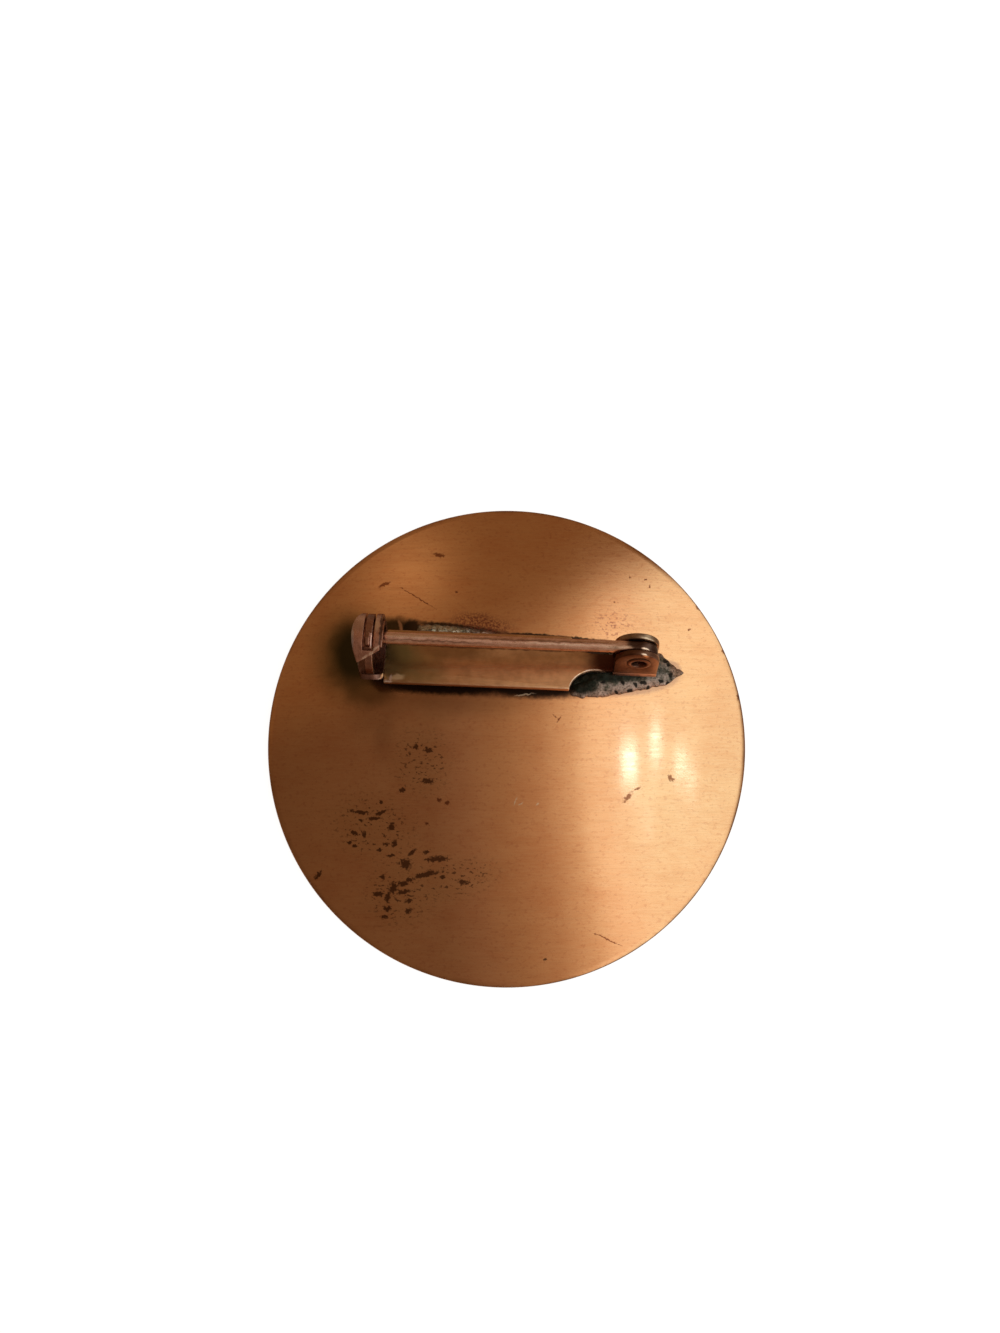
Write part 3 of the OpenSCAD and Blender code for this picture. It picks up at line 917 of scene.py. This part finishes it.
def solder_pool(name, near_side, far_side, crest, rough, size, rings=16, count=90):
    """near_side and far_side run from the same start to the same end point."""
    edge_points = []
    for side, back in ((near_side, False), (far_side, True)):
        for i in range(count):
            t = i / count
            edge_points.append((along(side, 1 - t if back else t), 1 - t if back else t))
    points, faces = [], []
    total = len(edge_points)
    for under in (False, True):
        for k in range(rings + 1):
            s = k / rings
            for spot, t in edge_points:
                top = along(crest, t)
                fray = 0.16 * (1 - s)
                x = spot.x + (top.x - spot.x) * s + fray * noise.noise(spot * 1.9)
                y = spot.y + (top.y - spot.y) * s + fray * noise.noise(spot * 2.3)
                ruffle = (noise.noise(Vector((x, y, 3)) / size)
                          + 0.5 * noise.noise(Vector((x, y, 7)) / size * 2.7))
                lift = top.z * math.sin(s * math.pi / 2) ** 0.75 + rough * ruffle * s ** 0.5
                points.append((x, y, dome_height(x, y)
                               + (-0.04 - 0.12 * s if under else max(lift, -0.02) - 0.04)))
    for under in (0, 1):
        for k in range(rings):
            for i in range(total):
                j = (i + 1) % total
                base = (under * (rings + 1) + k) * total
                faces.append((base + i, base + j, base + total + j, base + total + i))
    pool = make_piece(name, points, faces, "base", sharp_deg=180)
    print(name, len(pool.data.polygons), "faces")
    return pool


# %% Solder shapes
solder = solder_pool(
    "solder_pool",
    [(4.9, 4.3, 0), (5.2, 3.5, 0), (6.4, 3.4, 0), (7.8, 3.5, 0), (9.2, 3.8, 0), (10.6, 4.05, 0),
     (12.0, 4.4, 0), (13.0, 4.75, 0), (13.7, 5.2, 0), (14.0, 5.6, 0)],
    [(4.9, 4.3, 0), (5.1, 5.2, 0), (6.2, 6.2, 0), (7.6, 6.9, 0), (9.2, 7.3, 0), (10.6, 7.5, 0),
     (11.9, 7.3, 0), (12.7, 6.6, 0), (13.4, 6.0, 0), (14.0, 5.6, 0)],
    [(5.6, 4.5, 0.3), (6.8, 4.9, 0.7), (8.4, 5.3, 0.95), (10.0, 5.6, 0.95), (11.6, 5.7, 0.8),
     (12.8, 5.6, 0.35), (13.6, 5.6, 0.12)], 0.09, 0.55)
bead = solder_pool(
    "solder_bead",
    [(-7.1, 8.75, 0), (-6.0, 8.3, 0), (-4.5, 8.25, 0), (-3.0, 8.2, 0), (-1.4, 8.15, 0),
     (0.1, 8.3, 0)],
    [(-7.1, 8.75, 0), (-6.9, 9.25, 0), (-5.2, 9.25, 0), (-3.4, 9.05, 0), (-1.5, 8.75, 0),
     (0.1, 8.3, 0)],
    [(-6.6, 8.7, 0.65), (-5.0, 8.7, 0.6), (-3.4, 8.6, 0.5), (-1.6, 8.45, 0.35),
     (-0.2, 8.35, 0.2)], 0.16, 0.3)
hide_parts("soldered_disc")

# %% [markdown]
# ## Finishes of the pin back
# The pin back was plated and has dulled: brown on the bar, olive where flux sat, dark
# bronze on the ears and pink on the wire. Highlights, glints and shadows are painted onto them
# as well. Each piece could have a network of its own, but they differ only in colour, grain,
# stains and painted light, so one function makes them all.

# %% Worn metal
def worn_metal(name, colour, dull, rough, grain_size, stretch=(1, 1, 1), overlays=(), foot=None):
    """Each stain or painted light in the list is (ovals, softness, colour, strength), laid over
    the metal in turn, and where a fifth value is given, only above that height. Some are
    stained metal, the rest painted highlights, glints, reflections and shadows.

    foot: heights where a tint towards the foot starts and is full, its colour and strength.
    On the catch it is painted shade with some soot, on the near ear a painted highlight."""
    material, tree, shader = new_finish(name)
    here = place_mm(tree)
    cloud = grain(tree, here, grain_size * 8, detail=4.0)
    lines = grain(tree, here, grain_size, stretch, detail=3.0)
    body = tint(tree, between(tree, cloud, 0.35, 0.7, 0.0, 0.6), colour, dull)
    body = tint(tree, between(tree, lines, 0.5, 0.75, 0.0, 0.45), body, dull)
    height = add(tree, "ShaderNodeSeparateXYZ", {0: here}).outputs["Z"]
    if foot:
        start, full, shade, strength = foot
        body = tint(tree, between(tree, height, start, full, 0.0, strength), body, shade)
    ragged = wavy(tree, here, 0.5, 0.35)
    for ovals, soft, shade, strength, *above in overlays:
        inside = soft_ovals(tree, ragged, ovals, soft)
        if above:
            inside = calc(tree, "MULTIPLY", inside,
                          calc(tree, "GREATER_THAN", height, above[0]))
        body = tint(tree, calc(tree, "MULTIPLY", inside, strength), body, shade)
    tree.links.new(body, shader.inputs["Base Color"])
    tree.links.new(between(tree, lines, 0.3, 0.75, rough, rough + 0.15),
                   shader.inputs["Roughness"])
    bump(tree, shader, lines, 0.004)
    return material


# %% Finish of the bar
notch = on_bar @ Vector((NOTCH_X, -NECK - NOTCH_R, 0))
# colours of painted highlights: on edges, and along the ear's foot
painted_highlight, foot_highlight = (1.0, 0.64, 0.42), (0.80, 0.47, 0.38)
bar_stains_and_light = (
    (((-8.9, 6.4, 2.2, 1.9, 0),), 0.5, (0.235, 0.175, 0.065), 0.88),
    (((-6.4, 5.4, 1.6, 1.3, 20),), 0.6, (0.32, 0.20, 0.07), 0.6),
    (((-4.2, 6.95, 2.6, 0.6, -3),), 0.5, (0.28, 0.12, 0.036), 0.6),
    # a painted shadow of the wire: a dark line along the bar
    (((-1.2, 7.3, 8.2, 0.15, -2.4),), 0.4, (0.12, 0.04, 0.015), 0.7),
    (((-8.45, 4.88, 0.55, 0.25, 0),), 0.4, (1.0, 0.72, 0.40), 0.85),
    # the hinge's painted shadow, near black, on the neck by the ears
    (((8.3, 6.2, 1.9, 2.0, 0),), 0.45, (0.06, 0.012, 0.007), 0.95),
    # a painted highlight along the front edge, partly edge wear
    (((-0.8, 4.17, 9.2, 0.13, -2.4),), 0.5, (0.85, 0.52, 0.36), 0.15),
    # a painted highlight along the near ear's foot
    (((9.95, 5.03, 1.7, 0.13, -2.4),), 0.4, foot_highlight, 0.8),
    # a painted highlight along the notch's edge
    (((notch.x, notch.y, 2.05, 1.98, -2.4),), 0.02, painted_highlight, 0.75),
    # painted highlights on the bar's lower left corner
    (((-9.2, 4.6, 0.36, 0.12, 0), (-8.93, 4.85, 0.08, 0.28, 0)), 0.4, (1.0, 0.74, 0.54), 0.95))
bar_copper = worn_metal("bar_copper", (0.76, 0.355, 0.145), (0.50, 0.215, 0.082), 0.30, 0.10,
                        (10, 1, 10), bar_stains_and_light)
dress(pin_bar, bar_copper)

# %% Finish of the ears and the rivet
glint = (1.0, 0.60, 0.36)
# a painted highlight along the near ear's foot
ear_foot_highlight = (4.72, 4.55, foot_highlight, 0.85)
ear_brown = worn_metal("ear_brown", (0.17, 0.066, 0.032), (0.075, 0.024, 0.012), 0.28, 0.15,
                       overlays=((((11.7, 5.9, 0.6, 0.9, 0),), 0.5, (0.46, 0.23, 0.14), 0.6),
                               (((10.4, 6.12, 0.27, 0.09, -12),), 0.4, glint, 0.85)),
                       foot=ear_foot_highlight)
ear_olive = worn_metal("ear_olive", (0.44, 0.245, 0.13), (0.12, 0.058, 0.026), 0.28, 0.12,
                       # a painted highlight on the far ear's top edge
                       overlays=((((10.7, 7.4, 0.45, 0.12, -10),), 0.5, (0.9, 0.56, 0.32), 0.6),))
dress(ear_near, ear_brown)
dress(ear_far, ear_olive)
rivet_copper = worn_metal("rivet_copper", (0.26, 0.10, 0.053), (0.13, 0.043, 0.022), 0.32, 0.1)
dress(hinge_rivet, rivet_copper)

# %% Finish of the wire
wire_painted_light = (
    # painted shade on the eye, where it sits between the ears
    (((11.1, 7.0, 1.95, 1.3, 0),), 0.12, (0.035, 0.010, 0.005), 0.92),
    # painted highlights along the wire's right half
    (((8.1, 6.80, 1.1, 0.15, -2), (4.3, 7.0, 3.0, 0.07, -2.4)), 0.5, painted_highlight, 0.8),
    # painted shade: a dark line along the wire between two lit bands
    (((-5.4, 7.28, 3.6, 0.06, -2.4), (1.5, 7.3, 6.0, 0.07, -2.4)), 0.5,
     (0.22, 0.08, 0.04), 0.6),
    (((10.45, 6.62, 0.27, 0.10, -10),), 0.4, glint, 0.95),
    # a painted highlight at the wire's flattened end
    (((8.6, 6.78, 0.7, 0.11, -3),), 0.4, painted_highlight, 0.95),
    # a painted highlight along the wire's top at the left
    (((-6.9, 7.66, 2.3, 0.16, -2.4),), 0.5, (1.0, 0.66, 0.46), 0.6))
pink = worn_metal("pink_copper", (1.0, 0.54, 0.34), (0.66, 0.30, 0.17), 0.24, 0.07, (14, 1, 1),
                  wire_painted_light)
dress(pin, pink)

# %% Finishes of the catch
# painted shade low on the catch, darkening its mouth and underside, with some soot
foot_shade_and_soot = (8.0, 6.2, (0.06, 0.024, 0.017), 0.68)
housing_painted_light = (
    # a painted reflection along the outer end's edge
    (((-11.55, 7.2, 0.16, 1.3, 0),), 0.5, (0.50, 0.42, 0.36), 0.6),
    # a painted sheen on the housing's top
    (((-10.4, 8.6, 1.4, 0.6, 0),), 0.9, (1.0, 0.60, 0.42), 0.6),
    # painted shade on the inner end face
    (((-9.36, 7.4, 0.12, 1.9, 0),), 0.3, (0.05, 0.022, 0.015), 0.85),
    # a painted highlight on the band by the inner end, high up
    (((-9.68, 8.35, 0.15, 0.4, 0),), 0.5, painted_highlight, 0.75, 8.0),
    # painted highlights along the lip
    (((-10.55, 5.9, 0.3, 0.10, 32), (-9.75, 6.5, 0.3, 0.08, 42)), 0.5, painted_highlight, 0.8, 7.9),
    # a painted highlight spot on the lip
    (((-10.05, 6.2, 0.17, 0.13, 30),), 0.4, painted_highlight, 1.0, 7.9),
    # a painted highlight on the jaw
    (((-9.5, 4.95, 0.42, 0.09, 52),), 0.4, painted_highlight, 0.7))
housing_copper = worn_metal("housing_copper", (0.62, 0.275, 0.16), (0.26, 0.095, 0.052), 0.26,
                            0.10, (1, 4, 4), housing_painted_light, foot_shade_and_soot)
# a painted highlight on the lever
lever_highlight = ((((-10.08, 7.25, 0.09, 0.45, 0),), 0.5, (1.0, 0.52, 0.34), 0.5),)
lever_copper = worn_metal("lever_copper", (0.46, 0.20, 0.115), (0.15, 0.055, 0.03), 0.26,
                          0.09, (1, 4, 1), lever_highlight, foot_shade_and_soot)
dress(catch_housing, housing_copper)
dress(rotor, lever_copper)
print(len(bar_stains_and_light) + len(wire_painted_light) + len(housing_painted_light), "groups of stains in all")

# %% [markdown]
# ## Finish of the solder
# Old solder is grey and matt, with tan where the copper shows through and small black
# holes where gas came out. Lumps and grit are noise; the larger holes have their places.

# %% Solder grey
solder_grey, tree, shader = new_finish("solder_grey", roughness=0.5)
here = place_mm(tree)
lumps = grain(tree, here, 0.55, detail=4.0, rough=0.6)
grit = grain(tree, here, 0.13, detail=3.0, rough=0.7)
body = tint(tree, between(tree, lumps, 0.38, 0.62), (0.11, 0.085, 0.05), (0.43, 0.28, 0.195))
body = tint(tree, between(tree, grit, 0.40, 0.28, 0.0, 0.65), body, (0.78, 0.58, 0.43))
ragged = wavy(tree, here, 0.3, 0.3)
solder_stains_and_shadow = (
    (((10.8, 4.3, 2.6, 0.42, 8), (7.0, 3.6, 1.6, 0.3, 0)), 0.4, (0.70, 0.44, 0.31), 0.6),
    # painted shadow under the notch's edge and the hinge
    (((5.9, 4.5, 1.2, 0.85, 0), (8.6, 5.25, 3.6, 0.62, 4)), 0.3, (0.018, 0.02, 0.012), 0.94),
    (((-5.3, 8.75, 2.0, 0.5, -4),), 0.5, (0.78, 0.60, 0.36), 0.65),
    (((13.5, 5.75, 0.6, 0.6, 0), (-0.8, 8.35, 1.3, 0.5, -8)), 0.4, (0.42, 0.20, 0.11), 0.7),
    (((7.54, 4.56, 0.2, 0.12, 20), (8.56, 3.86, 0.16, 0.12, 0), (9.04, 4.58, 0.2, 0.14, -40),
      (9.66, 3.96, 0.24, 0.2, 0), (10.07, 4.44, 0.2, 0.13, -40), (10.71, 4.62, 0.28, 0.15, 0),
      (11.1, 4.3, 0.12, 0.2, 0), (11.9, 4.32, 0.2, 0.12, 0), (12.15, 4.81, 0.26, 0.14, 0),
      (12.6, 6.42, 0.26, 0.16, 0), (12.75, 6.1, 0.15, 0.15, 0), (12.97, 5.31, 0.2, 0.24, 0),
      (12.71, 4.66, 0.2, 0.14, 0)), 0.3, (0.016, 0.012, 0.008), 0.95))
for ovals, soft, shade_colour, strength in solder_stains_and_shadow:
    inside = soft_ovals(tree, ragged, ovals, soft)
    body = tint(tree, calc(tree, "MULTIPLY", inside, strength), body, shade_colour)
body = tint(tree, between(tree, grit, 0.52, 0.64, 0.0, 0.85), body, (0.025, 0.024, 0.016))
tree.links.new(body, shader.inputs["Base Color"])
tree.links.new(between(tree, grit, 0.3, 0.7, 0.38, 0.62), shader.inputs["Roughness"])
bump(tree, shader, grit, 0.05)
dress(solder, solder_grey)
dress(bead, solder_grey)
